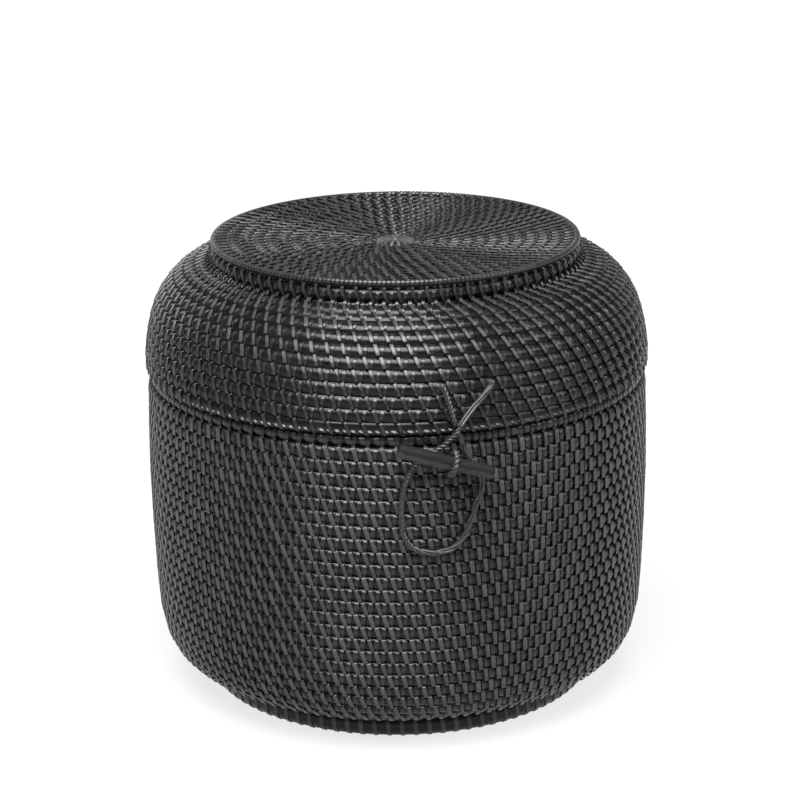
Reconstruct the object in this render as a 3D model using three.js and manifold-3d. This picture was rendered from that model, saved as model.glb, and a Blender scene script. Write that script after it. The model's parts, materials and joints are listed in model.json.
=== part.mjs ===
// A round lidded basket of coiled cane, with a toggle and cord-loop closure.
// Millimetres, +Z up. The origin is on the floor, on the basket's axis. The closure is on the
// -Y side and the lid hinges at the +Y side.
import * as THREE from 'three';
import { mergeVertices } from 'three/addons/utils/BufferGeometryUtils.js';
import Module from 'manifold-3d';

const wasm = await Module();
wasm.setup();

// Driving dimensions
const wall = 6;                 // one thickness of cane with its lacing
const gap = 0.35;               // air between neighbouring pieces
const turnSteps = 60;           // flats round every coiled piece

const footRadius = 99.4;
const footHeight = 11.9;
const footWidth = 8;
const baseTop = 18.6;
const baseRadius = 101.2;
const seamHeight = 168.1;       // where the lid meets the body
const rimHeight = 6;            // the body's top coil
const lidRimHeight = 3.6;       // the narrow wrapped coil at the lid's edge
const bodyRimRadius = 126.3;
const lidRadius = 127.6;        // the lid overhangs the body a little
const shoulderFoot = 96.6;      // inner end of the lid's shoulder, at the step
const stepRadius = 95.4;
const stepFoot = 211.6;
const topRadius = 94;
const topHeight = 230.4;

const collarRadius = 118.6;     // stands inside the lid and keeps it from sliding
const collarWidth = 4.2;
const collarHeight = 19;
const collarTop = 180;

const hingeY = lidRadius + 0.8;
const hingeTieX = 16;           // each tie's distance from the middle of the back
const hingeTieRadius = 11.5;    // big enough to go round both rim coils
const hingeTieCord = 1.3;       // radius of the cord
const tieClearance = 0.35;

const toggleHeight = 154.5;
const toggleTilt = THREE.MathUtils.degToRad(18.3);
const pegRadius = 3.5;
const pegLongEnd = 27;          // from the tie to the end on the left
const pegShortEnd = 20;
const pegStandoff = 4.4;        // room behind the peg for the loop's cord
const pegY = -(126.8 + pegStandoff + pegRadius);
const tieCord = 1.25;           // radius of the cord round the peg
const tieRadius = pegRadius + tieCord + gap;
const knotRadius = 3.4;

const loopCord = 1.35;          // radius of the closure's cord

const cane = { color: 0x262626, roughness: 0.42, metalness: 0 };
const lacing = { color: 0x222222, roughness: 0.38, metalness: 0 };
const cord = { color: 0x2b2a29, roughness: 0.45, metalness: 0 };
const twig = { color: 0x2a2624, roughness: 0.55, metalness: 0 };

// Outlines in [radius, height], from the bottom up, along the outside
const bodyOutline = new THREE.SplineCurve([
  [102.8, 13], [111.5, 15], [117.6, 18.6], [122.2, 26.5], [125.3, 40], [126.6, 62],
  [127.7, 100], [127.6, 130], [126.5, 161.7],
].map(([r, z]) => new THREE.Vector2(r, z)));
const shoulderOutline = new THREE.SplineCurve([
  [127.5, 172.5], [127.4, 176.5], [126, 185.5], [123.5, 195.5], [119.4, 203.5], [113.8, 210],
  [106.6, 215], [shoulderFoot, 217.6],
].map(([r, z]) => new THREE.Vector2(r, z)));

// Shapes

function lathe(profile, steps = turnSteps) {
  const geometry = new THREE.LatheGeometry(profile.map(([r, z]) => new THREE.Vector2(r, z)), steps);
  return geometry.rotateX(Math.PI / 2);
}

// A shell of even thickness behind an outline
function coiledShell(outline, steps) {
  const outside = [];
  const inside = [];
  for (let i = 0; i <= steps; i++) {
    const point = outline.getPoint(i / steps);
    const along = outline.getTangent(i / steps);
    outside.push([point.x, point.y]);
    inside.push([point.x - along.y * wall, point.y + along.x * wall]);
  }
  return lathe([...outside, ...inside.reverse(), outside[0]]);
}

// One coil: a ring with a rounded rectangular section, standing on a height
function coilRing(outerRadius, width, bottom, height) {
  const round = Math.min(width, height) * 0.3;
  const inner = outerRadius - width;
  const top = bottom + height;
  return lathe([
    [outerRadius - round, bottom], [outerRadius, bottom + round], [outerRadius, top - round],
    [outerRadius - round, top], [inner + round, top], [inner, top - round],
    [inner, bottom + round], [inner + round, bottom], [outerRadius - round, bottom],
  ]);
}

function coiledDisc(radius, bottom, top) {
  const round = (top - bottom) * 0.3;
  return lathe([
    [0, bottom], [radius - round, bottom], [radius, bottom + round], [radius, top - round],
    [radius - round, top], [0, top],
  ]);
}

function cordAlong(points, radius, steps) {
  const section = new THREE.Shape();
  for (let i = 0; i < 8; i++) {
    const angle = (i + 0.5) / 8 * Math.PI * 2;
    section[i ? 'lineTo' : 'moveTo'](radius * Math.cos(angle), radius * Math.sin(angle));
  }
  const extrudePath = new THREE.CatmullRomCurve3(points, false, 'centripetal');
  return new THREE.ExtrudeGeometry(section, { steps, bevelEnabled: false, extrudePath });
}

// A point on the front of the basket, from its distance across, its height and its distance
// from the basket's axis
function onFront([x, z, radius]) {
  return new THREE.Vector3(x, -Math.sqrt(radius ** 2 - x ** 2), z);
}

// The ring of a hinge tie, centred on the hinge line in a plane across it
function tieRing(side, cordRadius) {
  return new THREE.TorusGeometry(hingeTieRadius, cordRadius, 8, 24)
    .rotateY(Math.PI / 2)
    .translate(side * hingeTieX, hingeY, seamHeight);
}

// Cutting

function toSolid(geometry) {
  const bare = geometry.clone();
  bare.deleteAttribute('normal');
  bare.deleteAttribute('uv');
  const merged = mergeVertices(bare, 1e-4);
  return new wasm.Manifold(new wasm.Mesh({
    numProp: 3,
    vertProperties: merged.attributes.position.array,
    triVerts: new Uint32Array(merged.index.array),
  }));
}

function toGeometry(solid) {
  const { vertProperties, triVerts } = solid.getMesh();
  const geometry = new THREE.BufferGeometry();
  geometry.setAttribute('position', new THREE.BufferAttribute(vertProperties, 3));
  geometry.setIndex(new THREE.BufferAttribute(triVerts, 1));
  geometry.computeVertexNormals();
  return geometry;
}

function cut(geometry, ...tools) {
  return toGeometry(tools.reduce((rest, tool) => rest.subtract(toSolid(tool)), toSolid(geometry)));
}

const hingeHoles = [-1, 1].map((side) => tieRing(side, hingeTieCord + tieClearance));

function stemHole() {
  return new THREE.CylinderGeometry(tieCord + gap, tieCord + gap, 30, 12).translate(0, -120, toggleHeight);
}

// Pieces

function piece(name, geometry, finish) {
  const mesh = new THREE.Mesh(geometry, new THREE.MeshStandardMaterial(finish));
  mesh.name = name;
  return mesh;
}

function makeBody() {
  const body = new THREE.Group();
  const rimBottom = seamHeight - rimHeight;
  const collar = coilRing(collarRadius, collarWidth, collarTop - collarHeight, collarHeight);
  body.add(
    piece('foot_ring', coilRing(footRadius, footWidth, 0, footHeight), cane),
    piece('base_disc', coiledDisc(baseRadius, footHeight + gap, baseTop), cane),
    piece('body_wall', cut(coiledShell(bodyOutline, 10), ...hingeHoles, stemHole()), cane),
    piece('body_rim', cut(coilRing(bodyRimRadius, wall, rimBottom, rimHeight), ...hingeHoles), lacing),
    piece('locating_collar', cut(collar, ...hingeHoles), cane),
  );
  return body;
}

function makeLid() {
  const lid = new THREE.Group();
  const rim = coilRing(lidRadius, wall, seamHeight + gap, lidRimHeight);
  lid.add(
    piece('lid_rim', cut(rim, ...hingeHoles), lacing),
    piece('lid_shoulder', cut(coiledShell(shoulderOutline, 9), ...hingeHoles), cane),
    piece('lid_step_ring', coilRing(stepRadius, wall, stepFoot, topHeight - wall - gap - stepFoot), cane),
    piece('lid_top_disc', coiledDisc(topRadius, topHeight - wall, topHeight), cane),
  );
  return lid;
}

function makeHingeTies() {
  const ties = new THREE.Group();
  ties.add(
    piece('hinge_tie_left', tieRing(-1, hingeTieCord), cord),
    piece('hinge_tie_right', tieRing(1, hingeTieCord), cord),
  );
  return ties;
}

// The twig, its long end to the left and higher, with the cord that holds it
function makeToggle() {
  const toggle = new THREE.Group();
  const twigShape = lathe([
    [0, -pegLongEnd], [2.7, -pegLongEnd], [3.3, -pegLongEnd + 1.5], [pegRadius, -pegLongEnd * 0.5],
    [pegRadius - 0.15, 0], [3.3, pegShortEnd * 0.6], [3.1, pegShortEnd - 1.5], [2.6, pegShortEnd],
    [0, pegShortEnd],
  ], 12).rotateY(Math.PI / 2);
  const ring = new THREE.TorusGeometry(tieRadius, tieCord, 8, 20).rotateY(Math.PI / 2);
  toggle.add(piece('toggle_peg', twigShape, twig), piece('toggle_tie_loop', ring, cord));
  toggle.position.set(0, pegY, toggleHeight);
  toggle.rotation.y = toggleTilt;
  return toggle;
}

// The tie's stem through the wall, and its knot inside
function makeToggleAnchor() {
  const anchor = new THREE.Group();
  const outerEnd = pegY + tieRadius + tieCord + gap;
  const knotY = -(bodyRimRadius - wall - knotRadius - 0.6);
  const innerEnd = knotY - knotRadius * 0.95 - gap;
  const stemShape = new THREE.CylinderGeometry(tieCord, tieCord, innerEnd - outerEnd, 10);
  const stem = piece('toggle_tie_stem', stemShape, cord);
  stem.position.set(0, (innerEnd + outerEnd) / 2, toggleHeight);
  const knot = piece('toggle_tie_knot', new THREE.SphereGeometry(knotRadius, 14, 8), cord);
  knot.position.set(0, knotY, toggleHeight);
  anchor.add(stem, knot);
  return anchor;
}

// The loop hangs from the lid's edge, behind the peg, and its two ends cross and lie up the lid.
// Each point is [across, height, distance from the basket's axis].
function makeClosureCord() {
  const loop = [
    [3.2, 169.9, 132.5], [1.8, 167.4, 131.8], [-1, 164.3, 130.4], [-4.2, 161, 129.6],
    [-10, 157.4, 129.5], [-16, 153.2, 129.6], [-19.8, 147.4, 129.8], [-22.3, 140, 129.8],
    [-23.2, 132, 129.8], [-23.2, 124.5, 129.7], [-21.6, 116.6, 129.7], [-17.6, 111.4, 129.7],
    [-12, 109.3, 129.7], [-6.4, 108.9, 129.7], [-1, 109.9, 129.7], [3.6, 112.9, 129.7],
    [7.4, 118.2, 129.7], [9.8, 124, 129.7], [11.8, 130, 129.8], [14.2, 136.6, 129.8],
    [15.4, 141.5, 129.7], [13.6, 147, 129.6], [9.8, 153, 129.5], [6.6, 158.5, 129.4],
    [4.8, 164, 129.3], [3.3, 169.3, 129.4],
  ];
  const rightTail = [
    [3.7, 170.8, 132.5], [7, 174.6, 130.9], [11, 178.9, 129.3], [15.5, 183.2, 128.4], [20, 187.6, 127.6],
    [21.3, 190.4, 127.1],
  ];
  const leftTail = [
    [3, 170.4, 129.4], [1.6, 174, 129.3], [0.4, 178.5, 128.8], [-0.8, 183, 128.4], [-2.2, 187.5, 127.7],
    [-4.3, 190.6, 127.1],
  ];
  const closure = new THREE.Group();
  closure.add(
    piece('closure_loop', cordAlong(loop.map(onFront), loopCord, 44), cord),
    piece('loop_tail_right', cordAlong(rightTail.map(onFront), loopCord, 8), cord),
    piece('loop_tail_left', cordAlong(leftTail.map(onFront), loopCord, 8), cord),
  );
  return closure;
}

const basket = new THREE.Group();
basket.add(makeBody(), makeLid(), makeHingeTies(), makeToggle(), makeToggleAnchor(), makeClosureCord());

export default basket;
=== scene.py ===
import json
import math

import bmesh
import bpy
from mathutils import Euler, Matrix, Vector, noise
from mathutils.bvhtree import BVHTree


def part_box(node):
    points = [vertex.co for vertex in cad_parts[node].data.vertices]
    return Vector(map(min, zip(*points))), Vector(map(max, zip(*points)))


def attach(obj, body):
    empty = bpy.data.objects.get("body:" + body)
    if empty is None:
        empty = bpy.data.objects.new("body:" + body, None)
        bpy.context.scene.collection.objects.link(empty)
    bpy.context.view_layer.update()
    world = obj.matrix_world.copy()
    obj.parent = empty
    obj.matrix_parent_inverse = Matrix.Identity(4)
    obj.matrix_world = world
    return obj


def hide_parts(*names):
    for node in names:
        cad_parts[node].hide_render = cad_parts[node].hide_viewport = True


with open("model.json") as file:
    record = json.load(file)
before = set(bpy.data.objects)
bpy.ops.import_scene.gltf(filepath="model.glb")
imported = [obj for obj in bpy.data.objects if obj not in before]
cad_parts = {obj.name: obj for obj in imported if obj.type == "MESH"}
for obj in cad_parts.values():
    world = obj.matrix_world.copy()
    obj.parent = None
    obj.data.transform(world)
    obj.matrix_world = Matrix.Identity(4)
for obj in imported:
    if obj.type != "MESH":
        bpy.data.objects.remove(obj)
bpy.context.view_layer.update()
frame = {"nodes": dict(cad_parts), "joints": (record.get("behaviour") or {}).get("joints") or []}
mm = 0.001


# Camera, looking down on the basket from a little to the left of the closure

cameraView = {
    "distance": 1.2,  # from the basket's axis, on the flat
    "height": 0.5316,
    "azimuth": -10.9,  # degrees round from the closure
    "down": 17.955,
    "roll": -0.7,
    "aside": 0.0014,
    "lens": 110.37,
}


def makeCamera(view):
    camera = bpy.data.objects.new("camera", bpy.data.cameras.new("camera"))
    camera.data.lens = view["lens"]
    camera.data.sensor_width = 36
    azimuth = math.radians(view["azimuth"])
    place = Vector((math.sin(azimuth), -math.cos(azimuth), 0)) * view["distance"]
    place.z = view["height"]
    place += Vector((math.cos(azimuth), math.sin(azimuth), 0)) * view["aside"]
    turn = Euler((math.radians(90 - view["down"]), 0, azimuth)).to_matrix().to_4x4()
    roll = Matrix.Rotation(math.radians(view["roll"]), 4, "Z")
    camera.matrix_world = Matrix.Translation(place) @ turn @ roll
    bpy.context.scene.collection.objects.link(camera)
    bpy.context.scene.camera = camera


makeCamera(cameraView)
print("camera placed")


# Finishes

laceLook = {
    "dark": (0.006, 0.006, 0.0063),
    "light": (0.016, 0.0157, 0.0155),
    "paintedSheen": (0.043, 0.0424, 0.0418),  # painted sheen: the strip's colour where it stands proud, lighter as if it caught the light
    "roughness": (0.22, 0.32),
    "sheenRoughness": 0.06,  # how much rougher it is there
    "shine": 0.36,
    "fibre": (3.2, 0.22, 1),  # across the strip, along it
    "fibreDepth": 0.25,
    "patch": 0.6,
}
# the star's spokes are given a lighter painted sheen still
starLook = dict(laceLook, paintedSheen=(0.08, 0.079, 0.078))
caneLook = {
    "dark": (0.0025, 0.0025, 0.0026),
    "light": (0.007, 0.0069, 0.0068),
    "roughness": (0.2, 0.3),
    "shine": 0.19,
    "grain": 900,
    "grainDepth": 0.2,
    "patch": 120,
}
cordLook = {
    "dark": (0.009, 0.009, 0.009),
    "light": (0.030, 0.029, 0.029),
    "roughness": (0.3, 0.45),
    "fibre": (4, 0.4, 1),
    "fibreDepth": 0.3,
    "patch": 0.35,
}
twigLook = {
    "dark": (0.004, 0.0035, 0.003),
    "light": (0.052, 0.048, 0.045),
    "roughness": (0.55, 0.8),
    "shine": 0.2,
    "bark": (1.6, 0.12, 1),
    "barkDepth": 0.9,
    "bare": (0.75, -0.35),  # under it, and on its upper side, where the bark is left
    "patch": 0.5,
    "size": 3.4,  # mm, the radius its bark is laid out for
}
bumpHeight = 0.0002


def link(tree, source, target):
    tree.links.new(source, target)


def newNode(tree, kind, inputs=None, **settings):
    # inputs gives a value or another node's output for each socket that it names
    node = tree.nodes.new(kind)
    for name, value in settings.items():
        setattr(node, name, value)
    for name, value in (inputs or {}).items():
        if isinstance(value, bpy.types.NodeSocket):
            link(tree, value, node.inputs[name])
        else:
            node.inputs[name].default_value = value
    return node


def startMaterial(name):
    material = bpy.data.materials.new(name)
    material.use_nodes = True
    return material, material.node_tree, material.node_tree.nodes["Principled BSDF"]


def noiseNode(tree, vector, scale, detail=4, stretch=(1, 1, 1)):
    mapping = newNode(tree, "ShaderNodeMapping", {"Vector": vector, "Scale": stretch})
    texture = newNode(tree, "ShaderNodeTexNoise", {
        "Vector": mapping.outputs["Vector"], "Scale": scale, "Detail": detail})
    return texture.outputs["Fac"]


def rangeNode(tree, value, low, high, fromLow=0.3, fromHigh=0.7):
    spread = newNode(tree, "ShaderNodeMapRange", {
        "Value": value, "From Min": fromLow, "From Max": fromHigh, "To Min": low, "To Max": high})
    return spread.outputs["Result"]


def mixNode(tree, factor, first, second):
    mix = newNode(tree, "ShaderNodeMix", data_type="RGBA")
    link(tree, factor, mix.inputs["Factor"])
    for socket, color in (("A", first), ("B", second)):
        if isinstance(color, tuple):
            mix.inputs[socket].default_value = (*color, 1)
        else:
            link(tree, color, mix.inputs[socket])
    return mix.outputs["Result"]


def mathNode(tree, operation, *values):
    return newNode(tree, "ShaderNodeMath", dict(enumerate(values)), operation=operation).outputs["Value"]


def addValues(tree, first, second, share):
    # first plus a share of second
    return mathNode(tree, "MULTIPLY_ADD", second, share, first)


def attributeNode(tree, name, socket):
    return newNode(tree, "ShaderNodeAttribute", attribute_name=name).outputs[socket]


def addBump(tree, shader, height, strength, distance=bumpHeight):
    bump = newNode(tree, "ShaderNodeBump", {"Height": height, "Strength": strength, "Distance": distance})
    link(tree, bump.outputs["Normal"], shader.inputs["Normal"])


def makeLaceFinish(name, look):
    # a split cane strip: fibres along it, each strip a little lighter or darker, and a painted sheen,
    # lighter where it stands proud, by each row's share
    material, tree, shader = startMaterial(name)
    place = attributeNode(tree, "stripPlace", "Vector")
    tone = attributeNode(tree, "tone", "Fac")
    fibre = noiseNode(tree, place, 1.0, 3, look["fibre"])
    patch = noiseNode(tree, place, look["patch"], 2)
    proud = attributeNode(tree, "proud", "Fac")
    # painted sheen: the proud parts take a lighter colour standing in for the light they catch, scaled by
    # each row's share
    paintedSheen = mathNode(tree, "MULTIPLY", proud, attributeNode(tree, "wear", "Fac"))
    level = addValues(tree, rangeNode(tree, patch, 0, 0.5), tone, 0.5)
    plain = mixNode(tree, level, look["dark"], look["light"])
    high = mixNode(tree, level, look["light"], look["paintedSheen"])
    link(tree, mixNode(tree, paintedSheen, plain, high), shader.inputs["Base Color"])
    roughness = addValues(tree, rangeNode(tree, patch, *look["roughness"]), paintedSheen, look["sheenRoughness"])
    link(tree, roughness, shader.inputs["Roughness"])
    shader.inputs["Specular IOR Level"].default_value = look["shine"]
    addBump(tree, shader, fibre, look["fibreDepth"])
    return material


def makeCaneFinish(look):
    material, tree, shader = startMaterial("caneFinish")
    place = tree.nodes.new("ShaderNodeTexCoord").outputs["Object"]
    patch = noiseNode(tree, place, look["patch"], 3)
    grain = noiseNode(tree, place, look["grain"], 3)
    color = mixNode(tree, rangeNode(tree, patch, 0, 1), look["dark"], look["light"])
    link(tree, color, shader.inputs["Base Color"])
    link(tree, rangeNode(tree, patch, *look["roughness"]), shader.inputs["Roughness"])
    shader.inputs["Specular IOR Level"].default_value = look["shine"]
    addBump(tree, shader, grain, look["grainDepth"])
    return material


def makeCordFinish(look):
    material, tree, shader = startMaterial("cordFinish")
    place = attributeNode(tree, "stripPlace", "Vector")
    fibre = noiseNode(tree, place, 1.0, 3, look["fibre"])
    patch = noiseNode(tree, place, look["patch"], 2)
    color = mixNode(tree, rangeNode(tree, patch, 0, 1), look["dark"], look["light"])
    link(tree, color, shader.inputs["Base Color"])
    link(tree, rangeNode(tree, patch, *look["roughness"]), shader.inputs["Roughness"])
    addBump(tree, shader, fibre, look["fibreDepth"])
    return material


def makeTwigFinish(look):
    material, tree, shader = startMaterial("twigFinish")
    place = attributeNode(tree, "stripPlace", "Vector")
    bark = noiseNode(tree, place, 1.0, 5, look["bark"])
    patch = noiseNode(tree, place, look["patch"], 4)
    parts = newNode(tree, "ShaderNodeSeparateXYZ", {0: place})
    upward = mathNode(tree, "SINE", mathNode(tree, "DIVIDE", parts.outputs["X"], look["size"]))
    bare = rangeNode(tree, upward, *look["bare"], -0.3, 0.15)
    ridged = addValues(tree, bare, rangeNode(tree, bark, -0.5, 0.5, 0.4, 0.6), 0.6)
    level = addValues(tree, ridged, rangeNode(tree, patch, -0.4, 0.6), 0.5)
    link(tree, mixNode(tree, level, look["dark"], look["light"]), shader.inputs["Base Color"])
    link(tree, rangeNode(tree, bark, *look["roughness"]), shader.inputs["Roughness"])
    shader.inputs["Specular IOR Level"].default_value = look["shine"]
    addBump(tree, shader, bark, look["barkDepth"], 2 * bumpHeight)
    return material


laceFinish = makeLaceFinish("laceFinish", laceLook)
starFinish = makeLaceFinish("starFinish", starLook)
caneFinish = makeCaneFinish(caneLook)
cordFinish = makeCordFinish(cordLook)
twigFinish = makeTwigFinish(twigLook)
print("finishes made")


# Meshes

def newObject(name, mesh):
    made = bpy.data.objects.new(name, mesh)
    bpy.context.scene.collection.objects.link(made)
    return made


def smoothSolid(name, points, faces):
    # a closed mesh with its faces pointing out
    mesh = bpy.data.meshes.new(name)
    mesh.from_pydata(points, [], faces)
    work = bmesh.new()
    work.from_mesh(mesh)
    bmesh.ops.recalc_face_normals(work, faces=work.faces)
    for face in work.faces:
        face.smooth = True
    work.to_mesh(mesh)
    work.free()
    return mesh


def storeValues(mesh, name, kind, values):
    attribute = mesh.attributes.new(name, kind, "POINT")
    flat = values if kind == "FLOAT" else [part for value in values for part in value]
    attribute.data.foreach_set("value" if kind == "FLOAT" else "vector", flat)


def closeLoop(rings, sides):
    # the faces of a closed loop of sections, each with that many corners
    return [
        (i * sides + j, i * sides + (j + 1) % sides,
         (i + 1) % rings * sides + (j + 1) % sides, (i + 1) % rings * sides + j)
        for i in range(rings) for j in range(sides)
    ]


# The lacing strip's turn round the canes, in mm: [toward the next cane, outward]. The strip lies
# tight on the next cane, dips between the two and stands proud over its own.

stripTurn = {
    "pitch": 6.4,  # from one cane to the next
    "width": 2.3,
    "edgeWidth": 1.9,
    "thickness": 0.4,
    "tightThickness": 0.2,
    "front": [
        (9.6, 0.4), (9.1, 1.5), (7.9, 2.35), (6.4, 2.65), (4.9, 2.4), (4.0, 1.7), (3.35, 1.9), (3.1, 2.65),
        (2.7, 2.85), (-2.2, 2.9), (-2.7, 2.75), (-3.2, 2.0), (-3.5, 0.8),
    ],
    "back": [(-3.1, -1.4), (-1.6, -2.5), (0.6, -2.7), (3.2, -2.0), (5.6, -2.65), (7.8, -2.4), (9.3, -1.2)],
    "returnLean": 0.45,  # how much of the slant the strip takes back over the next cane
}


def stripSection(turn, thickness, reach):
    taper = turn.get("taper", 0) * max(0, reach)
    half, edge = turn["width"] / 2 * (1 - taper), turn["edgeWidth"] / 2 * (1 - taper)
    return [(-half, 0), (-edge, thickness), (edge, thickness), (half, 0)]


def sweepStrip(name, turn, slant):
    # a closed strip that follows the turn's points; slant gives each point's share of the lean
    points = turn["front"] + turn["back"]
    own = turn.get("pitch", math.inf) / 2 - 0.3  # the strip stands proud up to here
    middle = Vector((sum(p[0] for p in points), sum(p[1] for p in points))) / len(points)
    corners, places, slants, prouds = [], [], [], []
    along = 0
    for i, point in enumerate(points):
        before = Vector(points[i - 1])
        after = Vector(points[(i + 1) % len(points)])
        here = Vector(point)
        normal = Vector((after.y - before.y, before.x - after.x)).normalized()
        if normal.dot(here - middle) < 0:
            normal = -normal
        along += (here - before).length
        proud = i < len(turn["front"]) and abs(point[0]) < own
        thickness = turn["thickness"] if proud else turn["tightThickness"]
        for across, high in stripSection(turn, thickness, point[0]):
            spot = here + normal * high
            corners.append((across * mm, spot.x * mm, spot.y * mm))
            places.append((across, along, 0))
            slants.append(slant(point, i < len(turn["front"])))
            prouds.append(float(proud))
    mesh = smoothSolid(name, corners, closeLoop(len(points), 4))
    mesh.set_sharp_from_angle(angle=math.radians(42))
    storeValues(mesh, "proud", "FLOAT", prouds)
    storeValues(mesh, "stripPlace", "FLOAT_VECTOR", places)
    storeValues(mesh, "slantShare", "FLOAT", slants)
    return newObject(name, mesh)


def stitchSlant(point, isFront):
    # metres of sideways shift for a lean of 1, at a point between the strip's two ends
    low, valley, top = -3.4, stripTurn["pitch"] / 2, stripTurn["front"][0][0]
    topShift = -valley + (top - valley) * stripTurn["returnLean"]
    if not isFront:
        share = (point[0] - low) / (top - low)
        return (-low * (1 - share) + topShift * share) * mm
    if point[0] <= valley:
        return -point[0] * mm
    return (-valley + (point[0] - valley) * stripTurn["returnLean"]) * mm


# Geometry Nodes: canes along rings of points, and a strip's turn on each point

def treeSocket(tree, name, kind, value=None):
    socket = tree.interface.new_socket(name, in_out="INPUT", socket_type=kind)
    if value is not None:
        socket.default_value = value
    return socket.identifier


def namedAttribute(tree, name, kind):
    node = newNode(tree, "GeometryNodeInputNamedAttribute", {"Name": name}, data_type=kind)
    return node.outputs["Attribute"]


def makeLacedCoil():
    tree = bpy.data.node_groups.new("lacedCoil", "GeometryNodeTree")
    sockets = {
        "rows": treeSocket(tree, "Rows", "NodeSocketGeometry"),
        "caneHeight": treeSocket(tree, "Cane Height", "NodeSocketFloat", 0.0052),
        "caneDepth": treeSocket(tree, "Cane Depth", "NodeSocketFloat", 0.0052),
        "strip": treeSocket(tree, "Strip", "NodeSocketObject"),
        "widthChange": treeSocket(tree, "Width Change", "NodeSocketFloat", 0.1),
        "seed": treeSocket(tree, "Seed", "NodeSocketInt", 1),
        "cane": treeSocket(tree, "Cane Finish", "NodeSocketMaterial"),
        "lace": treeSocket(tree, "Lace Finish", "NodeSocketMaterial"),
    }
    tree.interface.new_socket("Geometry", in_out="OUTPUT", socket_type="NodeSocketGeometry")
    given = tree.nodes.new("NodeGroupInput")

    # canes
    outward = namedAttribute(tree, "outward", "FLOAT_VECTOR")
    line = newNode(tree, "GeometryNodeMeshToCurve", {"Mesh": given.outputs["Rows"]})
    upright = newNode(
        tree, "GeometryNodeSetCurveNormal", {"Curve": line.outputs["Curve"], "Normal": outward}, mode="FREE")
    circle = newNode(
        tree, "GeometryNodeCurvePrimitiveCircle", {"Resolution": 8, "Radius": 0.5}, mode="RADIUS")
    size = newNode(tree, "ShaderNodeCombineXYZ", {
        "X": given.outputs["Cane Depth"], "Y": given.outputs["Cane Height"], "Z": 1})
    section = newNode(tree, "GeometryNodeTransform", {
        "Geometry": circle.outputs["Curve"], "Scale": size.outputs["Vector"]})
    tube = newNode(tree, "GeometryNodeCurveToMesh", {
        "Curve": upright.outputs["Curve"], "Profile Curve": section.outputs["Geometry"]})
    marked = newNode(
        tree, "GeometryNodeStoreNamedAttribute",
        {"Geometry": tube.outputs["Mesh"], "Name": "isCane", "Value": True},
        data_type="BOOLEAN", domain="FACE")

    # strips
    strip = newNode(tree, "GeometryNodeObjectInfo", {"Object": given.outputs["Strip"]})
    facing = newNode(
        tree, "FunctionNodeAxesToRotation",
        {"Primary Axis": outward, "Secondary Axis": namedAttribute(tree, "towardNext", "FLOAT_VECTOR")},
        primary_axis="Z", secondary_axis="Y")
    change, seed = given.outputs["Width Change"], given.outputs["Seed"]
    width = newNode(
        tree, "FunctionNodeRandomValue",
        {2: mathNode(tree, "SUBTRACT", 1, change), 3: mathNode(tree, "ADD", 1, change), "Seed": seed},
        data_type="FLOAT")
    stretch = newNode(tree, "ShaderNodeCombineXYZ", {
        "X": width.outputs[1], "Y": namedAttribute(tree, "stretch", "FLOAT"), "Z": 1})
    turns = newNode(tree, "GeometryNodeInstanceOnPoints", {
        "Points": given.outputs["Rows"], "Instance": strip.outputs["Geometry"],
        "Rotation": facing.outputs["Rotation"], "Scale": stretch.outputs["Vector"]})
    tone = newNode(tree, "FunctionNodeRandomValue", {"Seed": seed}, data_type="FLOAT")
    toned = newNode(
        tree, "GeometryNodeStoreNamedAttribute",
        {"Geometry": turns.outputs["Instances"], "Name": "tone", "Value": tone.outputs[1]},
        data_type="FLOAT", domain="INSTANCE")
    realized = newNode(tree, "GeometryNodeRealizeInstances", {"Geometry": toned.outputs["Geometry"]})
    slant = namedAttribute(tree, "slantShare", "FLOAT")
    shift = mathNode(tree, "MULTIPLY", namedAttribute(tree, "lean", "FLOAT"), slant)
    sideways = namedAttribute(tree, "sideways", "FLOAT_VECTOR")
    aside = newNode(tree, "ShaderNodeVectorMath", {0: sideways, "Scale": shift}, operation="SCALE")
    leaned = newNode(tree, "GeometryNodeSetPosition", {
        "Geometry": realized.outputs["Geometry"], "Offset": aside.outputs[0]})

    joined = newNode(tree, "GeometryNodeJoinGeometry", {"Geometry": leaned.outputs["Geometry"]})
    link(tree, marked.outputs["Geometry"], joined.inputs["Geometry"])
    smooth = newNode(tree, "GeometryNodeSetShadeSmooth", {"Geometry": joined.outputs["Geometry"]})
    whole = newNode(tree, "GeometryNodeRealizeInstances", {"Geometry": smooth.outputs["Geometry"]})
    laceSet = newNode(tree, "GeometryNodeSetMaterial", {
        "Geometry": whole.outputs["Geometry"], "Material": given.outputs["Lace Finish"]})
    caneSet = newNode(tree, "GeometryNodeSetMaterial", {
        "Geometry": laceSet.outputs["Geometry"], "Material": given.outputs["Cane Finish"],
        "Selection": namedAttribute(tree, "isCane", "BOOLEAN")})
    newNode(tree, "NodeGroupOutput", {"Geometry": caneSet.outputs["Geometry"]})
    return tree, sockets


lacedCoil, coilSockets = makeLacedCoil()


# Rows of cane

hair = 0.00002  # metres, kept from a node's very edge


def outlineOf(node, edge=hair):
    # the node's outer side as (radius, height), in metres, from that far over its lowest edge
    mesh = frame["nodes"][node].data
    mesh.calc_loop_triangles()
    triangles = [tuple(t.vertices) for t in mesh.loop_triangles]
    rays = BVHTree.FromPolygons([v.co for v in mesh.vertices], triangles)
    low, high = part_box(node)
    turn = math.radians(1.5)  # past the solid's own corners
    away = Vector((math.cos(turn), math.sin(turn), 0))
    outline = []
    outside = 0.3
    steps = 400
    for i in range(steps + 1):
        height = low.z + edge + (high.z - low.z - edge - hair) * i / steps
        hit = rays.ray_cast(away * outside + Vector((0, 0, height)), -away)[0]
        if hit:
            outline.append((math.hypot(hit.x, hit.y), height))
    return outline


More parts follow.
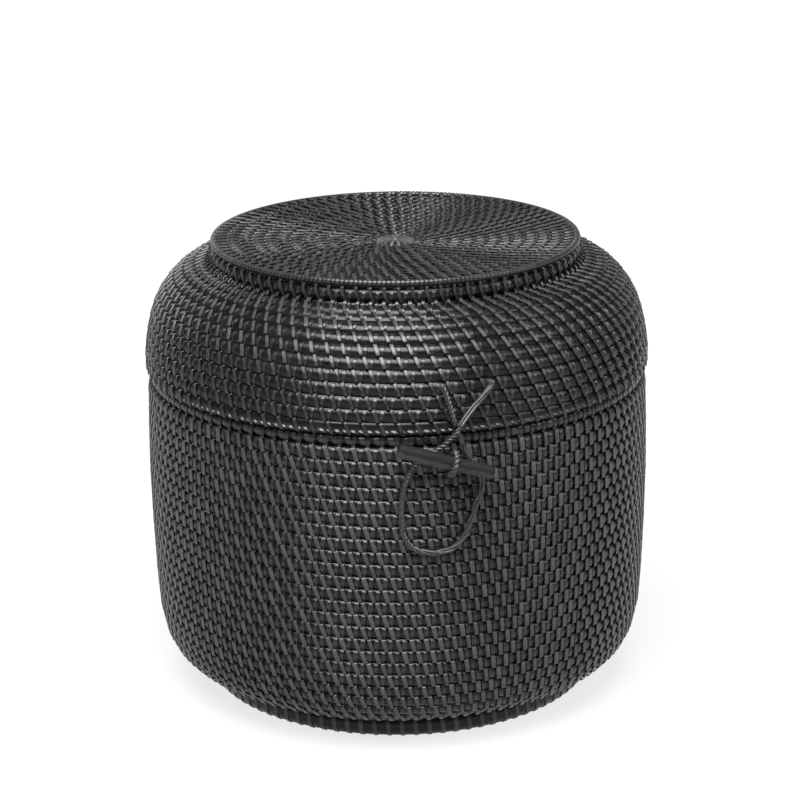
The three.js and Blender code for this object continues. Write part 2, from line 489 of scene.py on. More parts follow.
def placeAlong(outline, distance):
    # the point at that distance along an outline, and the direction there
    left = distance
    for (r0, z0), (r1, z1) in zip(outline, outline[1:]):
        step = math.hypot(r1 - r0, z1 - z0)
        if left <= step and step > 0:
            share = left / step
            return Vector((r0 + (r1 - r0) * share, z0 + (z1 - z0) * share))
        left -= step
    return Vector(outline[-1])


def outlineLength(outline):
    return sum(math.hypot(b[0] - a[0], b[1] - a[1]) for a, b in zip(outline, outline[1:]))


def canesAlong(outline, count, inset, first, last):
    # the middles of that many canes under an outline, as (radius, height); first and last are the
    # end canes' distances from the outline's ends
    length = outlineLength(outline)
    nearby = 0.002  # metres each way, for the outline's direction
    middles = []
    for i in range(count):
        distance = first + (length - first - last) * i / (count - 1)
        here = placeAlong(outline, distance)
        ahead = placeAlong(outline, min(distance + nearby, length))
        behind = placeAlong(outline, max(distance - nearby, 0))
        along = (ahead - behind).normalized()
        middles.append(here - Vector((along.y, -along.x)) * inset)
    return middles


def ringRows(middles, counts, beyond, firstPhase, drift, wear=lambda row: 1):
    # one row for each cane; beyond is the middle of the cane past the last one. The last argument gives each
    # row's share of the painted sheen on its strips.
    rows = []
    phase = firstPhase
    for i, middle in enumerate(middles):
        after = middles[i + 1] if i + 1 < len(middles) else beyond
        step = after - middle
        toward = step.normalized()
        rows.append({
            "middle": middle, "toward": toward, "outward": Vector((toward.y, -toward.x)),
            "stretch": step.length / (stripTurn["pitch"] * mm), "count": counts[i], "phase": phase,
            "wear": wear(i),
        })
        phase -= drift
    return rows


def rowGuide(name, rows, leanAt):
    points, edges, outward, toward, sideways, leans, stretches, sheenShares = [], [], [], [], [], [], [], []
    for row in rows:
        first = len(points)
        for k in range(row["count"]):
            angle = 2 * math.pi * (k + row["phase"]) / row["count"]
            c, s = math.cos(angle), math.sin(angle)
            points.append((row["middle"].x * c, row["middle"].x * s, row["middle"].y))
            edges.append((first + k, first + (k + 1) % row["count"]))
            outward.append((row["outward"].x * c, row["outward"].x * s, row["outward"].y))
            toward.append((row["toward"].x * c, row["toward"].x * s, row["toward"].y))
            sideways.append((-s, c, 0))
            leans.append(leanAt(math.degrees(angle)))
            stretches.append(row["stretch"])
            sheenShares.append(row["wear"])
    mesh = bpy.data.meshes.new(name)
    mesh.from_pydata(points, edges, [])
    storeValues(mesh, "outward", "FLOAT_VECTOR", outward)
    storeValues(mesh, "towardNext", "FLOAT_VECTOR", toward)
    storeValues(mesh, "sideways", "FLOAT_VECTOR", sideways)
    storeValues(mesh, "lean", "FLOAT", leans)
    storeValues(mesh, "stretch", "FLOAT", stretches)
    # each row's share of the painted sheen, for the strips' finish
    storeValues(mesh, "wear", "FLOAT", sheenShares)
    return newObject(name, mesh)


def weave(name, rows, leanAt, strip, cane, seed, widthChange=0.1, lace=laceFinish):
    guide = rowGuide(name + "Guide", rows, leanAt)
    modifier = guide.modifiers.new("weave", "NODES")
    modifier.node_group = lacedCoil
    modifier[coilSockets["caneHeight"]] = cane[0]
    modifier[coilSockets["caneDepth"]] = cane[1]
    modifier[coilSockets["strip"]] = strip
    modifier[coilSockets["widthChange"]] = widthChange
    modifier[coilSockets["seed"]] = seed
    modifier[coilSockets["cane"]] = caneFinish
    modifier[coilSockets["lace"]] = lace
    graph = bpy.context.evaluated_depsgraph_get()
    mesh = bpy.data.meshes.new_from_object(
        guide.evaluated_get(graph), preserve_all_data_layers=True, depsgraph=graph)
    mesh.name = name
    bpy.data.objects.remove(guide)
    piece = newObject(name, mesh)
    print(name, "triangles", sum(len(p.vertices) - 2 for p in mesh.polygons))
    return piece


def finishPiece(piece, body, slot, *nodes):
    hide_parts(*nodes)
    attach(piece, body)


caneSize = (0.0077, 0.0051)  # along the wall, and through it
caneInset = 0.0031  # from the lacing's outside to the middle of the cane
above = Vector((0, 0.0064))  # from a single coil's middle to the next one's

stitch = sweepStrip("stitchShape", stripTurn, stitchSlant)
lidStitch = sweepStrip("lidStitchShape", dict(stripTurn, width=1.9, edgeWidth=1.5), stitchSlant)


# The body's wall

wallWeave = {
    "rows": 25,
    "first": 0.0016,  # the lowest cane's middle from the wall's foot
    "last": 0.0053,
    "lidHangs": 0.0024,  # how far the lid's edge comes down past the seam
    "turns": 118,  # stitches in a row
    "bands": 4,
    "drift": 0.46,  # each row starts this much of a stitch before the one under it
    "lean": 9,  # degrees
    "leanChange": 10,
}

bodyRimCoil = {
    "inset": 0.0007,  # from the lacing's outside, further than a cane of the wall
    "drop": 0.0028,  # its middle under the lid's edge
    "turns": wallWeave["turns"],
    "cane": (0.0052, 0.0052),
    "turn": {"width": 3.2, "edgeWidth": 2.4, "height": 5},
    # its share of the painted sheen
    "wear": 0.4,
}


def wallLean(angle):
    around = math.radians(angle + 108 - cameraView["azimuth"])
    return math.tan(math.radians(wallWeave["lean"] + wallWeave["leanChange"] * math.cos(3 * around)))


def rimMiddle():
    # the middle of the body's top coil, which the lid's edge hangs a little over
    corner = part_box("body_rim")[1]
    edge = corner.z - wallWeave["lidHangs"]
    return Vector((corner.x - caneInset - bodyRimCoil["inset"], edge - bodyRimCoil["drop"]))


def makeWall():
    outline = outlineOf("body_wall")
    middles = canesAlong(outline, wallWeave["rows"], caneInset, wallWeave["first"], wallWeave["last"])
    rows = ringRows(middles, [wallWeave["turns"]] * len(middles), rimMiddle(), 0, wallWeave["drift"])
    share = math.ceil(len(rows) / wallWeave["bands"])
    for i in range(wallWeave["bands"]):
        band = rows[i * share:(i + 1) * share]
        piece = weave(f"wallBand{i + 1}", band, wallLean, stitch, caneSize, 11 + i)
        finishPiece(piece, "root", "black_cane", "body_wall")
    return rows


wallRows = makeWall()
print("wall woven")


# One coil with its own lacing, for rims and the foot

rimTurn = {
    "width": 2.3,
    "edgeWidth": 1.6,
    "thickness": 0.4,
    "tightThickness": 0.4,
    "height": 5.2,
    "depth": 5.2,
    "corners": 14,
}


def singleTurn(name, turn):
    # a strip round one coil of that height and depth
    half, deep = turn["height"] / 2, turn["depth"] / 2
    points = []
    for i in range(turn["corners"]):
        angle = 2 * math.pi * (i + 0.5) / turn["corners"]
        points.append((half * math.cos(angle), deep * math.sin(angle)))
    shape = dict(turn, front=points, back=[])

    def slant(point, isFront):
        return -point[0] * mm if point[1] > 0 else point[0] * mm * 0.2

    return sweepStrip(name, shape, slant)


def evenLean(degrees):
    return lambda angle: math.tan(math.radians(degrees))


def makeCoil(name, coil, rows, leanAt, cane, seed, **turn):
    strip = singleTurn(name + "Turn", dict(rimTurn, **coil["turn"], **turn))
    piece = weave(name, rows, leanAt, strip, cane, seed)
    bpy.data.objects.remove(strip)
    return piece


def singleRow(coil, middle, beyond, phase=0):
    return ringRows([middle], [coil["turns"]], beyond, phase, 0, lambda row: coil["wear"])


def makeBodyRim():
    middle = rimMiddle()
    rows = singleRow(bodyRimCoil, middle, middle + above, wallRows[-1]["phase"] - wallWeave["drift"])
    piece = makeCoil("bodyRimCoil", bodyRimCoil, rows, wallLean, bodyRimCoil["cane"], 21)
    finishPiece(piece, "root", "black_lacing", "body_rim")


lidRimCoil = {
    "turns": 206,
    "lean": 47,
    "inset": 0.0032,
    "lacing": 0.001,  # how much its strips add to the cane's height
    "depth": 0.005,
    "turn": {"width": 3.5, "edgeWidth": 2.6, "depth": 5, "corners": 10},
    # its share of the painted sheen, kept low so the band reads dull
    "wear": 0.3,
}


def makeLidRim():
    low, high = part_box("lid_rim")
    height = high.z - low.z
    middle = Vector((high.x - lidRimCoil["inset"], (low.z + high.z) / 2 - wallWeave["lidHangs"]))
    rows = singleRow(lidRimCoil, middle, middle + above)
    cane = (height - lidRimCoil["lacing"], lidRimCoil["depth"])
    lean = evenLean(lidRimCoil["lean"])
    piece = makeCoil("lidRimCoil", lidRimCoil, rows, lean, cane, 22, height=height / mm - 1)
    finishPiece(piece, "lid", "black_lacing", "lid_rim")


makeBodyRim()
makeLidRim()


# The lid

lidWeave = {
    "rows": 11,
    "first": 0.0010,
    "last": 0.0018,
    "foot": 0.0004,  # over the shoulder's slanted underside
    "rise": 0.0028,  # how far the top of the shoulder swells
    "beyond": 0.0062,  # from the last cane to the step's corner
    "turns": 96,
    "phase": 0.3,
    "drift": 0.4,
    "lean": 18,
    "wear": (0.1, 0.1, 0.1, 0.15, 0.25, 0.7, 1, 1, 1, 1, 0.8),  # share of the painted sheen, from the lowest row up: strong on the upper rows, which face the top light, faint on the lower ones
}


def lidLean(angle):
    return math.tan(math.radians(lidWeave["lean"]))


def makeShoulder():
    rimLow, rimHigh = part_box("lid_rim")
    outline = [(rimHigh.x - 0.0001, rimLow.z)] + outlineOf("lid_shoulder", lidWeave["foot"])
    middles = canesAlong(outline, lidWeave["rows"], caneInset, lidWeave["first"], lidWeave["last"])
    for i, middle in enumerate(middles):
        middle.y += lidWeave["rise"] * (i / (len(middles) - 1)) ** 2
    last = middles[-1] + (middles[-1] - middles[-2]).normalized() * lidWeave["beyond"]
    rows = ringRows(
        middles, [lidWeave["turns"]] * len(middles), last, lidWeave["phase"], lidWeave["drift"],
        lambda row: lidWeave["wear"][row])
    piece = weave("shoulderWeave", rows, lidLean, lidStitch, caneSize, 31)
    finishPiece(piece, "lid", "black_cane", "lid_shoulder")


stepWeave = {
    "turns": 88,
    "heights": (0.0144, 0.0081),  # down from the disc's top
    "inset": 0.0026,  # from the disc's edge in to the canes' middles
    "beyond": (0.0004, 0.0022),  # where the upper strips end: outward, and down from the disc's top
    "width": 1.6,
    "edgeWidth": 1.3,
    "phase": 0.1,
    "drift": 0.45,
    # its share of the painted sheen
    "wear": 0.4,
    "front": [
        (5.6, 1.0), (5.4, 2.2), (5.0, 2.85), (2.4, 2.9), (-2.2, 2.9), (-2.7, 2.75), (-3.2, 2.0),
        (-3.5, 0.8),
    ],
    "back": [(-3.1, -1.4), (-1.6, -2.5), (0.6, -2.7), (3.2, -2.2), (5.0, -1.0)],
}


def discCorner():
    # the lid's upper edge as woven, as (radius, height)
    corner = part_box("lid_top_disc")[1]
    return Vector((corner.x - discWeave["inset"], corner.z + discWeave["rise"]))


def makeStep():
    corner = discCorner()
    radius, top = corner.x - stepWeave["inset"], corner.y
    middles = [Vector((radius, top - down)) for down in stepWeave["heights"]]
    beyond = Vector((radius + stepWeave["beyond"][0], top - stepWeave["beyond"][1]))
    rows = ringRows(
        middles, [stepWeave["turns"]] * 2, beyond, stepWeave["phase"], stepWeave["drift"],
        lambda row: stepWeave["wear"])
    own = {key: stepWeave[key] for key in ("width", "edgeWidth", "front", "back")}
    upper = sweepStrip("stepTurn", dict(stripTurn, **own), stitchSlant)
    piece = weave("stepUpper", rows[1:], lidLean, upper, caneSize, 36)
    finishPiece(piece, "lid", "black_cane", "lid_step_ring")
    bpy.data.objects.remove(upper)
    piece = weave("stepLower", rows[:1], lidLean, lidStitch, caneSize, 32)
    finishPiece(piece, "lid", "black_cane", "lid_step_ring")


discWeave = {
    "pitch": 6.3,
    "stitchPitch": 6.2,
    "hub": 15.0,  # where the spokes begin, from the middle
    "inset": 0.0010,
    "rise": 0.0010,
    "gap": 0.0016,  # from the edge coil to the lacing inside it
    "sag": 0.0038,  # how far its middle lies under its edge
    "lean": 0.3,
    "drift": 0.45,
    # share of the painted sheen on the disc's rows
    "wear": 0.45,
}

edgeCoil = {
    "turns": 262,
    "size": 3.4,  # mm, with its lacing
    "lacing": 0.8,
    "turn": {"width": 2.0, "edgeWidth": 1.5},
    # its share of the painted sheen
    "wear": 0.3,
}

starTurn = {
    "reach": 0.0076,  # the spokes' coil from the middle
    "length": 12.4,  # mm of its reach that the spoke is drawn for
    "width": 2.0,
    "edgeWidth": 1.3,
    "thickness": 0.9,
    "tightThickness": 0.9,
    "taper": 0.068,  # share of its width lost for each mm toward the hub
    "front": [
        (-3.3, 0.9), (-2.9, 2.2), (-1.6, 2.8), (0.5, 3.0), (3.0, 3.0), (5.5, 2.9), (8.0, 2.7), (10.2, 2.3),
        (11.3, 1.2),
    ],
    "back": [(11.3, -1.2), (10.2, -2.3), (5.5, -2.8), (0.5, -2.8), (-2.4, -2.4), (-3.3, -0.9)],
    "spokes": 16,
    "cane": (0.0058, 0.0044),
}

# the short canes under the star
hubCoil = {
    "turns": [12, 6],
    "cane": (0.0058, 0.0036),
    "turn": {"width": 2.0, "edgeWidth": 1.4, "depth": 3.6},
}


def discRows(node):
    low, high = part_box(node)
    outer = high.x - caneInset
    count = int((outer - discWeave["hub"] * mm) / (discWeave["pitch"] * mm)) + 1
    height = discCorner().y - caneInset if node == "lid_top_disc" else low.z + caneInset
    middles = [Vector((outer - i * discWeave["pitch"] * mm, height)) for i in range(count)]
    counts = [max(12, round(2 * math.pi * m.x / (discWeave["stitchPitch"] * mm))) for m in middles]
    beyond = middles[-1] - Vector((discWeave["pitch"] * mm, 0))
    return middles, counts, beyond


def hubRows(middles):
    # two short canes under the star, and the star's spokes
    step = Vector((-discWeave["pitch"] * mm, 0))
    first = Vector((starTurn["reach"], middles[-1].y))
    star = ringRows([first], [starTurn["spokes"]], first + step, 0, 0)
    star[0]["stretch"] = first.x / (starTurn["length"] * mm)
    inner = first + step * 0.75
    beyond = inner + step * 0.4
    # the short canes' strips get no painted sheen, so they stay dark as gaps between the spokes
    return star, ringRows([first, inner], hubCoil["turns"], beyond, 0, 0, lambda row: 0)


def makeHub(name, middles, body, node, seed):
    star, canes = hubRows(middles)
    spoke = sweepStrip(name + "Spoke", starTurn, lambda point, isFront: -point[0] * 0.3 * mm)
    piece = weave(name, star, lambda angle: 0, spoke, starTurn["cane"], seed, 0.05, starFinish)
    finishPiece(piece, body, "black_lacing", node)
    bpy.data.objects.remove(spoke)
    piece = makeCoil(name + "Middle", hubCoil, canes, discLean, hubCoil["cane"], seed + 5)
    finishPiece(piece, body, "black_cane", node)


def discLean(angle):
    return discWeave["lean"]


def discSag(radius):
    return discWeave["sag"] * (1 - (radius / discCorner().x) ** 2)


def makeTopDisc():
    middles, counts, beyond = discRows("lid_top_disc")
    beyond.y -= discWeave["sag"]
    makeHub("topStar", [middles[-1] - Vector((0, discWeave["sag"]))], "lid", "lid_top_disc", 34)
    half = edgeCoil["size"] / 2 * mm
    middle = discCorner() - Vector((half, half))
    rows = singleRow(edgeCoil, middle, middle - Vector((above.y, 0)))
    cane = edgeCoil["size"] - edgeCoil["lacing"]
    size = (cane * mm, cane * mm)
    piece = makeCoil("topEdge", edgeCoil, rows, discLean, size, 35, height=cane, depth=cane)
    finishPiece(piece, "lid", "black_lacing", "lid_top_disc")
    inset = discWeave["inset"] + discWeave["gap"]
    middles = [m - Vector((inset, discSag(m.x))) for m in middles]
    rows = ringRows(middles, counts, beyond, 0, discWeave["drift"], lambda row: discWeave["wear"])
    piece = weave("topWeave", rows, lidLean, lidStitch, caneSize, 33)
    finishPiece(piece, "lid", "black_cane", "lid_top_disc")


def makeBase():
    middles, counts, beyond = discRows("base_disc")
    makeHub("baseStar", middles, "root", "base_disc", 42)
    rows = ringRows(middles, counts, beyond, 0, discWeave["drift"], lambda row: discWeave["wear"])
    piece = weave("baseWeave", rows, lidLean, lidStitch, caneSize, 41)
    finishPiece(piece, "root", "black_cane", "base_disc")


makeShoulder()
makeStep()
makeTopDisc()
makeBase()
print("lid and base woven")


# The foot and the collar

footCoil = {
    "turns": 93,
    "spread": 0.0022,  # how far it stands out past the solid ring
    "inset": 0.004,
    "lacing": 0.0006,
    "depth": 0.0072,
    "turn": {
        "width": 2.1, "edgeWidth": 1.8, "thickness": 0.15, "tightThickness": 0.15,
        "depth": 7.2, "corners": 18,
    },
    "lean": 6,
    # its share of the painted sheen
    "wear": 0.55,
}


def makeFoot():
    low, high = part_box("foot_ring")
    height = high.z - low.z
    middle = Vector((high.x + footCoil["spread"] - footCoil["inset"], (low.z + high.z) / 2))
    rows = singleRow(footCoil, middle, middle + above)
    cane = (height - footCoil["lacing"], footCoil["depth"])
    lean = evenLean(footCoil["lean"])
    piece = makeCoil("footCoil", footCoil, rows, lean, cane, 51, height=height / mm - 0.6)
    finishPiece(piece, "root", "black_cane", "foot_ring")


collarCoil = {
    "rows": 3,
    "turns": 100,
    "inset": 0.0021,
    "beyond": 0.0063,  # up from the last cane's middle
    "drift": 0.5,
    "cane": (0.0064, 0.0032),
    "turn": {"width": 2.2, "edgeWidth": 1.5, "height": 5.2, "depth": 3.2, "corners": 12},
}


def makeCollar():
    low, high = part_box("locating_collar")
    count = collarCoil["rows"]
    middles = []
    for i in range(count):
        height = low.z + (i + 0.5) * (high.z - low.z) / count
        middles.append(Vector((high.x - collarCoil["inset"], height)))
    beyond = middles[-1] + Vector((0, collarCoil["beyond"]))
    rows = ringRows(middles, [collarCoil["turns"]] * count, beyond, 0, collarCoil["drift"])
    piece = makeCoil("collarCoil", collarCoil, rows, lidLean, collarCoil["cane"], 52)
    finishPiece(piece, "root", "black_cane", "locating_collar")


makeFoot()
makeCollar()
bpy.data.objects.remove(stitch)
bpy.data.objects.remove(lidStitch)


# Cords

def smoothPath(points, step):
    # points close together along a smooth curve through the given ones
    path = []
    for i in range(len(points) - 1):
        p1, p2 = points[i], points[i + 1]
        p0 = points[i - 1] if i else p1 * 2 - p2
        p3 = points[i + 2] if i + 2 < len(points) else p2 * 2 - p1
        pieces = max(1, round((p2 - p1).length / step))
        for k in range(pieces):
            t = k / pieces
            path.append(0.5 * (
                p1 * 2 + (p2 - p0) * t + (p0 * 2 - p1 * 5 + p2 * 4 - p3) * t * t
                + (p1 * 3 - p0 - p2 * 3 + p3) * t ** 3))
    path.append(points[-1])
    return path


def pathLength(path):
    return sum((b - a).length for a, b in zip(path, path[1:]))


def framesAlong(path, closed):
    # at each point the direction and two directions across it, turning as little as they can
    count = len(path)
    frames = []
    side = None
    for i, here in enumerate(path):
        after = path[(i + 1) % count] if closed or i + 1 < count else here
        before = path[i - 1] if closed or i else here
        along = (after - before).normalized()
        if side is None:
            side = along.orthogonal().normalized()
        side = (side - along * side.dot(along)).normalized()
        frames.append((here, along, side, along.cross(side)))
    return frames


def cordMesh(name, path, cord, closed=False):
    # strands laid round each other; twist gives the turns for each metre at a share of the length
    frames = framesAlong(path, closed)
    length = pathLength(path) + ((path[0] - path[-1]).length if closed else 0)
    sides = cord["sides"]
    points, faces, places = [], [], []
    for strand in range(cord["strands"]):
        centres = []
        turned = strand / cord["strands"]
        travelled = 0
        for i, (here, along, side, up) in enumerate(frames):
            angle = 2 * math.pi * turned
            centres.append(here + (side * math.cos(angle) + up * math.sin(angle)) * cord["offset"])
            step = (frames[(i + 1) % len(frames)][0] - here).length
            turned += step * cord["twist"](travelled / length)
            travelled += step
        strandFrames = framesAlong(centres, closed)
        first = len(points)
        travelled = 0
        for i, (here, along, side, up) in enumerate(strandFrames):
            size = cord["radius"]
            if not closed:
                fromEnd = min(i, len(strandFrames) - 1 - i)
                size *= cord["ends"][fromEnd] if fromEnd < len(cord["ends"]) else 1
            for k in range(sides):
                angle = 2 * math.pi * k / sides
                points.append(here + (side * math.cos(angle) + up * math.sin(angle)) * size)
                places.append((angle * size / mm, travelled / mm, strand * 7.3))
            travelled += (centres[(i + 1) % len(centres)] - here).length
        rings = len(strandFrames)
        if closed:
            loop = closeLoop(rings, sides)
        else:
            loop = [f for f in closeLoop(rings, sides) if f[0] < (rings - 1) * sides]
            loop += [tuple(range(sides)), tuple((rings - 1) * sides + k for k in range(sides))]
        faces += [tuple(first + corner for corner in face) for face in loop]
    mesh = smoothSolid(name, points, faces)
    storeValues(mesh, "stripPlace", "FLOAT_VECTOR", places)
    mesh.materials.append(cordFinish)
    return newObject(name, mesh)


loopCord = {
    "strands": 3,
    "radius": 0.00074,
    "offset": 0.00076,
    "sides": 8,
    "ends": (0.45, 0.8, 0.95),  # how a cut end narrows, from its tip
    "twist": lambda share: 145 if share < 0.42 else 145 - 110 * min(1, (share - 0.42) / 0.08),
    "step": 0.0006,
}
tailCord = dict(loopCord, twist=lambda share: 12)
darkTailCord = dict(loopCord, twist=lambda share: 150)
tieCord = dict(loopCord, strands=2, radius=0.0009, offset=0.0007, twist=lambda share: 190, step=0.0005)

# [across, height, distance from the basket's axis], in mm
loopRoute = [
    [3.2, 169.9, 132.5], [1.8, 167.4, 131.8], [-1, 164.3, 130.4], [-4.2, 161, 129.6],
    [-10, 157.4, 129.5], [-16, 153.2, 129.6], [-19.8, 147.4, 129.8], [-22.3, 140, 129.8],
    [-23.2, 132, 129.8], [-23.2, 124.5, 129.7], [-21.6, 116.6, 129.7], [-17.6, 111.4, 129.7],
    [-12, 109.3, 129.7], [-6.4, 108.9, 129.7], [-1, 109.9, 129.7], [3.6, 112.9, 129.7],
    [7.4, 118.2, 129.7], [9.8, 124, 129.7], [11.8, 130, 129.8], [14.2, 136.6, 129.8],
    [15.4, 141.5, 129.7], [13.6, 147, 129.6], [9.8, 153, 129.5], [6.6, 158.5, 129.4],
    [4.8, 164, 129.3], [3.3, 169.3, 129.4],
]
rightTailRoute = [
    [3.7, 170.8, 132.5], [7, 174.6, 130.9], [11, 178.9, 129.3], [15.5, 183.2, 128.4],
    [20, 187.6, 127.6], [21.3, 190.4, 127.1],
]
leftTailRoute = [
    [3, 170.4, 129.4], [1.6, 174, 129.3], [0.4, 178.5, 128.8], [-0.8, 183, 128.4],
    [-2.2, 187.5, 127.7], [-4.3, 190.6, 127.1],
]


def onFront(route):
    return [Vector((x, -math.sqrt(r * r - x * x), z)) * mm for x, z, r in route]


def makeClosure():
    path = smoothPath(onFront(loopRoute), loopCord["step"])
    loop = cordMesh("closureLoop", path, loopCord)
    rightPath = smoothPath(onFront(rightTailRoute), tailCord["step"])
    rightTail = cordMesh("loopTailRight", rightPath, tailCord)
    leftPath = smoothPath(onFront(leftTailRoute), darkTailCord["step"])
    leftTail = cordMesh("loopTailLeft", leftPath, darkTailCord)
    finishPiece(loop, "loop", "twisted_cord", "closure_loop")
    finishPiece(rightTail, "lid", "twisted_cord", "loop_tail_right")
    finishPiece(leftTail, "lid", "twisted_cord", "loop_tail_left")
    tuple(path[0])
    pathLength(path)
    print("closure loop", round(pathLength(path), 4), "m long")


def boxMiddle(node):
    low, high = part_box(node)
    return (low + high) / 2


def ringPath(middle, radius, across, count):
    # a circle of that radius about an axis across it
    side = across.orthogonal().normalized()
    up = across.cross(side)
    turns = [2 * math.pi * i / count for i in range(count)]
    return [middle + (side * math.cos(t) + up * math.sin(t)) * radius for t in turns]


def wholeTwist(radius, turns):
    # a twist that closes on itself round a ring
    return lambda share: round(turns * 2 * math.pi * radius) / (2 * math.pi * radius)


hingeTie = {"twist": 145, "points": 130}


def makeHingeTies():
    for side in ("left", "right"):
        low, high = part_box("hinge_tie_" + side)
        cordRadius = (high.x - low.x) / 2
        radius = (high.z - low.z) / 2 - cordRadius
        path = ringPath(boxMiddle("hinge_tie_" + side), radius, Vector((1, 0, 0)), hingeTie["points"])
        cord = dict(loopCord, twist=wholeTwist(radius, hingeTie["twist"]))
        ring = cordMesh("hingeTie" + side.capitalize(), path, cord, closed=True)
        finishPiece(ring, "root", "twisted_cord", "hinge_tie_" + side)


makeClosure()
makeHingeTies()
print("cords laid")


# The toggle

peg = {
    "tilt": 18.3,  # degrees, the long end higher
    "profile": [  # [along, radius] in mm, the tie at 0
        (-27, 2.5), (-26.7, 2.9), (-25.4, 3.25), (-20, 3.35), (-13, 3.5), (-6, 3.3), (0, 3.35),
        (8, 3.25), (14, 3.3), (18.4, 3.05), (19.8, 2.75), (20, 2.4),
    ],
    "sides": 28,
    "step": 0.8,  # mm between its sections
    "grooves": 0.3,  # mm deep
    "bend": 0.2,  # mm
    "seed": 7,
}


def radiusAt(profile, along):
    for (x0, r0), (x1, r1) in zip(profile, profile[1:]):
        if x0 <= along <= x1:
            return r0 + (r1 - r0) * (along - x0) / (x1 - x0)
    return profile[-1][1]


def makePeg(middle, turn):
    sides = peg["sides"]
    start, end = peg["profile"][0][0], peg["profile"][-1][0]
    between = {start + peg["step"] * i for i in range(int((end - start) / peg["step"]))}
    stations = sorted({p[0] for p in peg["profile"]} | between)
    points, places = [], []
    for along in stations:
        for k in range(sides):
            angle = 2 * math.pi * k / sides
            where = Vector((along * 0.05, math.cos(angle) * 1.8, math.sin(angle) * 1.8 + peg["seed"]))
            groove = noise.noise(where * 1.6) + 0.5 * noise.noise(where * 4)
            bend = peg["bend"] * math.sin(along * 0.09)
            radius = radiusAt(peg["profile"], along) + groove * peg["grooves"]
            spot = Vector((along, radius * math.cos(angle), radius * math.sin(angle) + bend))
            points.append(middle + turn @ spot * mm)
            places.append((angle * twigLook["size"], along, 0))
    rings = len(stations)
    faces = [f for f in closeLoop(rings, sides) if f[0] < (rings - 1) * sides]
    for ring, inward in ((0, 0.4), (rings - 1, -0.4)):
        first = ring * sides
        centre = len(points)
        points.append(middle + turn @ Vector((stations[ring] + inward, 0, 0)) * mm)
        places.append((0, stations[ring], 3))
        faces += [(first + k, first + (k + 1) % sides, centre) for k in range(sides)]
    mesh = smoothSolid("twigPeg", points, faces)
    storeValues(mesh, "stripPlace", "FLOAT_VECTOR", places)
    mesh.materials.append(twigFinish)
    piece = newObject("twigPeg", mesh)
    finishPiece(piece, "toggle", "dark_twig", "toggle_peg")


tie = {
    "radius": 0.0053,  # of the ring round the peg
    "twist": 217,
    "points": 90,  # round the ring, and along the knot
    "knotSize": 0.00072,
    "knotRadius": 0.0045,  # of a plain ring that would close with the knot's twist
    "knotTwist": 200,
}


def makeTie(middle, turn):
    path = ringPath(middle, tie["radius"], turn @ Vector((1, 0, 0)), tie["points"])
    cord = dict(tieCord, twist=wholeTwist(tie["radius"], tie["twist"]))
    ring = cordMesh("pegTie", path, cord, closed=True)
    finishPiece(ring, "toggle", "twisted_cord", "toggle_tie_loop")


def makeStem():
    low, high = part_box("toggle_tie_stem")
    centre = boxMiddle("toggle_tie_stem")
    points = [Vector((centre.x, y, centre.z)) for y in (low.y, centre.y, high.y)]
    stem = cordMesh("tieStem", smoothPath(points, tieCord["step"]), tieCord)
    finishPiece(stem, "root", "twisted_cord", "toggle_tie_stem")


def makeKnot():
    # an overhand knot drawn up tight
    centre = boxMiddle("toggle_tie_knot")
    path = []
    for i in range(tie["points"]):
        t = 2 * math.pi * i / tie["points"]
        across = math.sin(t) + 2 * math.sin(2 * t)
        up = math.cos(t) - 2 * math.cos(2 * t)
        path.append(centre + tie["knotSize"] * Vector((across, -1.6 * math.sin(3 * t), up)))
    cord = dict(tieCord, twist=wholeTwist(tie["knotRadius"], tie["knotTwist"]))
    knot = cordMesh("tieKnot", path, cord, closed=True)
    finishPiece(knot, "root", "twisted_cord", "toggle_tie_knot")


def makeToggle():
    swivel = next(j for j in frame["joints"] if j["name"] == "toggle_swivel")
    middle = Vector(swivel["pos_m"])
    turn = Matrix.Rotation(math.radians(peg["tilt"]), 3, "Y")
    makePeg(middle, turn)
    makeTie(middle, turn)
    makeStem()
    makeKnot()


makeToggle()
print("toggle tied")


# Floor and light

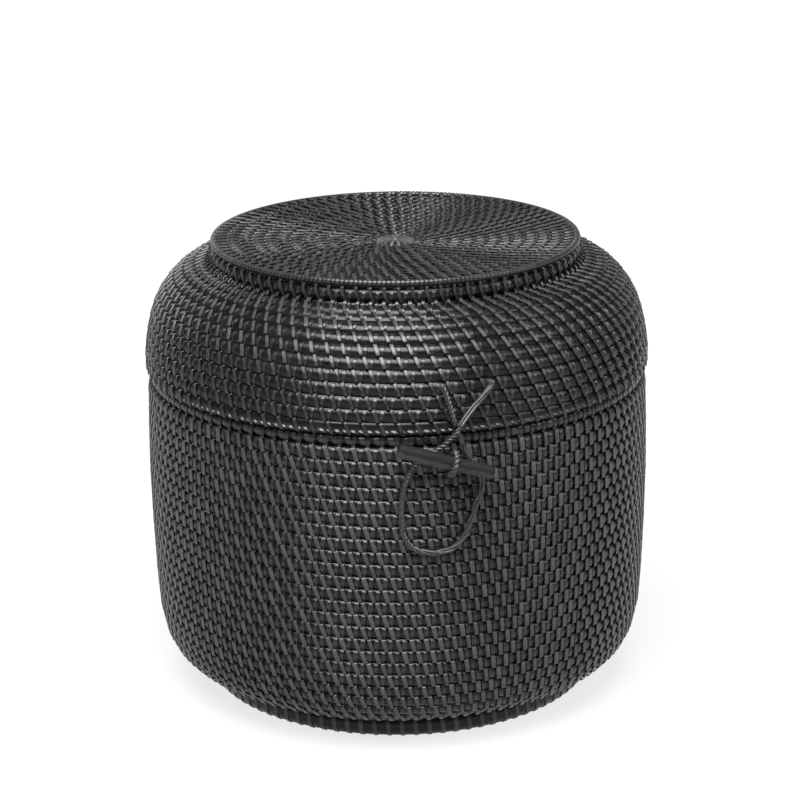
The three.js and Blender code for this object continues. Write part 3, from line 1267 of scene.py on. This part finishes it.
studio = {
    "floor": (0.1, 0.1, 0.1),
    "floorGlow": (0.78, 1.0),  # near the basket and far from it
    "glowReach": (0.6, 2.2),
    "floorRoughness": 0.8,
    "floorSize": 60,
    "topLight": {"size": 1.6, "distance": 2.0, "azimuth": -22, "height": 66, "power": 150},
    "sideLight": {"size": 1.2, "distance": 2.6, "azimuth": 62, "height": 35, "power": 22},
    "world": 0.25,
    "aim": 0.12,  # the height that the lights face
}


def addSoftbox(name, box):
    light = bpy.data.lights.new(name, "AREA")
    light.shape = "SQUARE"
    light.size = box["size"]
    light.energy = box["power"]
    lamp = bpy.data.objects.new(name, light)
    azimuth, height = math.radians(box["azimuth"]), math.radians(box["height"])
    level = Vector((math.sin(azimuth), -math.cos(azimuth), 0)) * math.cos(height)
    away = level + Vector((0, 0, math.sin(height)))
    lamp.location = Vector((0, 0, studio["aim"])) + away * box["distance"]
    lamp.rotation_euler = away.to_track_quat("Z", "Y").to_euler()
    bpy.context.scene.collection.objects.link(lamp)


def makeStudio():
    half = studio["floorSize"] / 2
    mesh = bpy.data.meshes.new("floor")
    corners = [(-half, -half, 0), (half, -half, 0), (half, half, 0), (-half, half, 0)]
    mesh.from_pydata(corners, [], [(0, 1, 2, 3)])
    floor = newObject("floor", mesh)
    material, tree, shader = startMaterial("floorFinish")
    shader.inputs["Base Color"].default_value = (*studio["floor"], 1)
    shader.inputs["Roughness"].default_value = studio["floorRoughness"]
    shader.inputs["Emission Color"].default_value = (1, 1, 1, 1)
    place = tree.nodes.new("ShaderNodeTexCoord").outputs["Object"]
    away = newNode(tree, "ShaderNodeVectorMath", {0: place}, operation="LENGTH")
    glow = rangeNode(tree, away.outputs["Value"], *studio["floorGlow"], *studio["glowReach"])
    link(tree, glow, shader.inputs["Emission Strength"])
    mesh.materials.append(material)
    world = bpy.data.worlds.new("studio")
    world.use_nodes = True
    world.node_tree.nodes["Background"].inputs["Color"].default_value = (1, 1, 1, 1)
    world.node_tree.nodes["Background"].inputs["Strength"].default_value = studio["world"]
    bpy.context.scene.world = world
    addSoftbox("topLight", studio["topLight"])
    addSoftbox("sideLight", studio["sideLight"])
    bpy.context.scene.view_settings.view_transform = "Standard"


makeStudio()
print("studio set")
